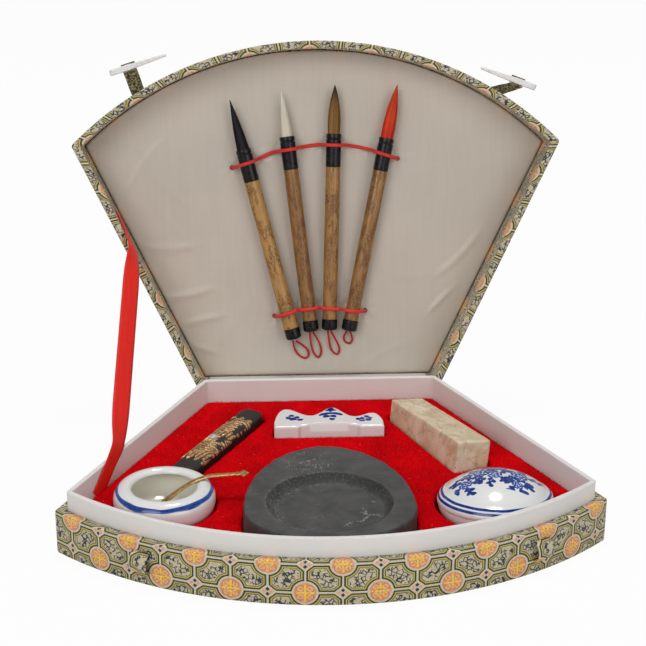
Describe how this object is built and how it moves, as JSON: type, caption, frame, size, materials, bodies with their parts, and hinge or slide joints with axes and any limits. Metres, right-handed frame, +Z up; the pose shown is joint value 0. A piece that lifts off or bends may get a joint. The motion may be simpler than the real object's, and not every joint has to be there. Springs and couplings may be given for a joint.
{
  "type": "calligraphy set box",
  "caption": "Fan-shaped calligraphy box, open: lid on a cloth hinge with a ribbon stay holds brushes under elastic; fitted tray holds ink stone, ink, seal, rest, dish and paste box.",
  "frame": {"origin": "middle of the base's underside, halfway between the hinge side and the front of the arc", "axes": "+X to the right along the longest extent, +Y to the hinge at the back, +Z up from the surface that the box stands on"},
  "size_m": [0.2792, 0.2748, 0.2189],
  "materials": {
    "brocade": "woven brocade over board, satin sheen",
    "grey_board": "matte",
    "white_paper": "matte",
    "red_flock": "flocked, fuzzy",
    "silk": "champagne silk, soft sheen",
    "red_cord": "braided",
    "red_ribbon": "satin",
    "brocade_strap": "woven",
    "peg_white": "polished bone look",
    "slate": "honed, matte",
    "ink_black": "pressed soot with gold paint",
    "seal_beige": "polished soapstone",
    "porcelain": "glazed white with cobalt blue",
    "brass": "aged, satin",
    "cinnabar": "thick paste",
    "bamboo": "varnished bamboo",
    "horn": "polished black",
    "hair_black": "animal hair",
    "hair_white": "animal hair",
    "hair_brown": "animal hair",
    "hair_red": "animal hair"
  },
  "bodies": {
    "base": {"base_board": "grey_board", "base_outer_wall": "brocade", "neck_liner": "white_paper", "tray_front_left": "red_flock", "tray_front_middle": "red_flock", "tray_front_right": "red_flock", "tray_back_left": "red_flock", "tray_back_middle": "red_flock", "tray_back_right": "red_flock", "hinge_cloth_base": "brocade", "stay_ribbon": "red_ribbon", "base_loop_left": "brocade_strap", "base_loop_right": "brocade_strap"},
    "lid": {"lid_board": "brocade", "lid_side_wall": "brocade", "lid_lining": "silk", "hinge_cloth_lid": "brocade", "hinge_liner": "white_paper", "cord_upper": "red_cord", "cord_lower": "red_cord"},
    "strap_left": {"strap_left": "brocade_strap"},
    "peg_left": {"peg_left": "peg_white", "peg_loop_left": "brocade_strap"},
    "strap_right": {"strap_right": "brocade_strap"},
    "peg_right": {"peg_right": "peg_white", "peg_loop_right": "brocade_strap"},
    "brush_black": {"brush_black_cap": "horn", "brush_black_handle": "bamboo", "brush_black_ferrule": "horn", "brush_black_hair": "hair_black", "brush_black_loop": "red_cord"},
    "brush_white": {"brush_white_cap": "horn", "brush_white_handle": "bamboo", "brush_white_ferrule": "horn", "brush_white_hair": "hair_white", "brush_white_loop": "red_cord"},
    "brush_brown": {"brush_brown_cap": "horn", "brush_brown_handle": "bamboo", "brush_brown_ferrule": "horn", "brush_brown_hair": "hair_brown", "brush_brown_loop": "red_cord"},
    "brush_red": {"brush_red_cap": "horn", "brush_red_handle": "bamboo", "brush_red_ferrule": "horn", "brush_red_hair": "hair_red", "brush_red_loop": "red_cord"},
    "ink_stone": {"ink_stone": "slate"},
    "ink_stick": {"ink_stick": "ink_black"},
    "seal_stone": {"seal_stone": "seal_beige"},
    "brush_rest": {"brush_rest": "porcelain"},
    "water_dish": {"water_dish": "porcelain"},
    "water_spoon": {"water_spoon": "brass"},
    "paste_bowl": {"paste_bowl": "porcelain", "seal_paste": "cinnabar"},
    "paste_cover": {"paste_cover": "porcelain"}
  },
  "joints": [
    {"name": "lid_hinge", "type": "hinge", "parent": "base", "child": "lid", "pos_m": [0, 0.1005, 0.0235], "axis": [-1, 0, 0], "range_deg": [-103.5, 0], "deforming": ["stay_ribbon"]},
    {"name": "strap_left_swing", "type": "hinge", "parent": "lid", "child": "strap_left", "pos_m": [-0.10183, 0.144, 0.19185], "axis": [-0.859, -0.1195, -0.4979], "range_deg": [-45, 60]},
    {"name": "peg_left_turn", "type": "hinge", "parent": "strap_left", "child": "peg_left", "pos_m": [-0.10575, 0.14669, 0.20304], "axis": [-0.9532, -0.0706, -0.294], "range_deg": [-35, 35]},
    {"name": "strap_right_swing", "type": "hinge", "parent": "lid", "child": "strap_right", "pos_m": [0.1042, 0.14367, 0.19045], "axis": [-0.8517, 0.1223, 0.5095], "range_deg": [-45, 60]},
    {"name": "peg_right_turn", "type": "hinge", "parent": "strap_right", "child": "peg_right", "pos_m": [0.11478, 0.14442, 0.19358], "axis": [-0.9379, 0.081, 0.3373], "range_deg": [-35, 35]},
    {"name": "brush_black_slide", "type": "slide", "parent": "lid", "child": "brush_black", "axis": [-0.247, 0.2262, 0.9422], "range_m": [0, 0.011]},
    {"name": "brush_white_slide", "type": "slide", "parent": "lid", "child": "brush_white", "axis": [-0.1132, 0.2319, 0.9661], "range_m": [0, 0.011]},
    {"name": "brush_brown_slide", "type": "slide", "parent": "lid", "child": "brush_brown", "axis": [0.0314, 0.2333, 0.9719], "range_m": [0, 0.011]},
    {"name": "brush_red_slide", "type": "slide", "parent": "lid", "child": "brush_red", "axis": [0.1994, 0.2288, 0.9528], "range_m": [0, 0.011]},
    {"name": "ink_stone_lift", "type": "slide", "parent": "base", "child": "ink_stone", "axis": [0, 0, 1], "range_m": [0, 0.04]},
    {"name": "ink_stick_lift", "type": "slide", "parent": "base", "child": "ink_stick", "axis": [0, 0, 1], "range_m": [0, 0.04]},
    {"name": "seal_stone_lift", "type": "slide", "parent": "base", "child": "seal_stone", "axis": [0, 0, 1], "range_m": [0, 0.04]},
    {"name": "brush_rest_lift", "type": "slide", "parent": "base", "child": "brush_rest", "axis": [0, 0, 1], "range_m": [0, 0.04]},
    {"name": "water_dish_lift", "type": "slide", "parent": "base", "child": "water_dish", "axis": [0, 0, 1], "range_m": [0, 0.04]},
    {"name": "water_spoon_lift", "type": "slide", "parent": "water_dish", "child": "water_spoon", "axis": [0, 0, 1], "range_m": [0, 0.03]},
    {"name": "paste_bowl_lift", "type": "slide", "parent": "base", "child": "paste_bowl", "axis": [0, 0, 1], "range_m": [0, 0.04]},
    {"name": "paste_cover_lift", "type": "slide", "parent": "paste_bowl", "child": "paste_cover", "axis": [0, 0.1219, 0.9925], "range_m": [0, 0.025]}
  ]
}
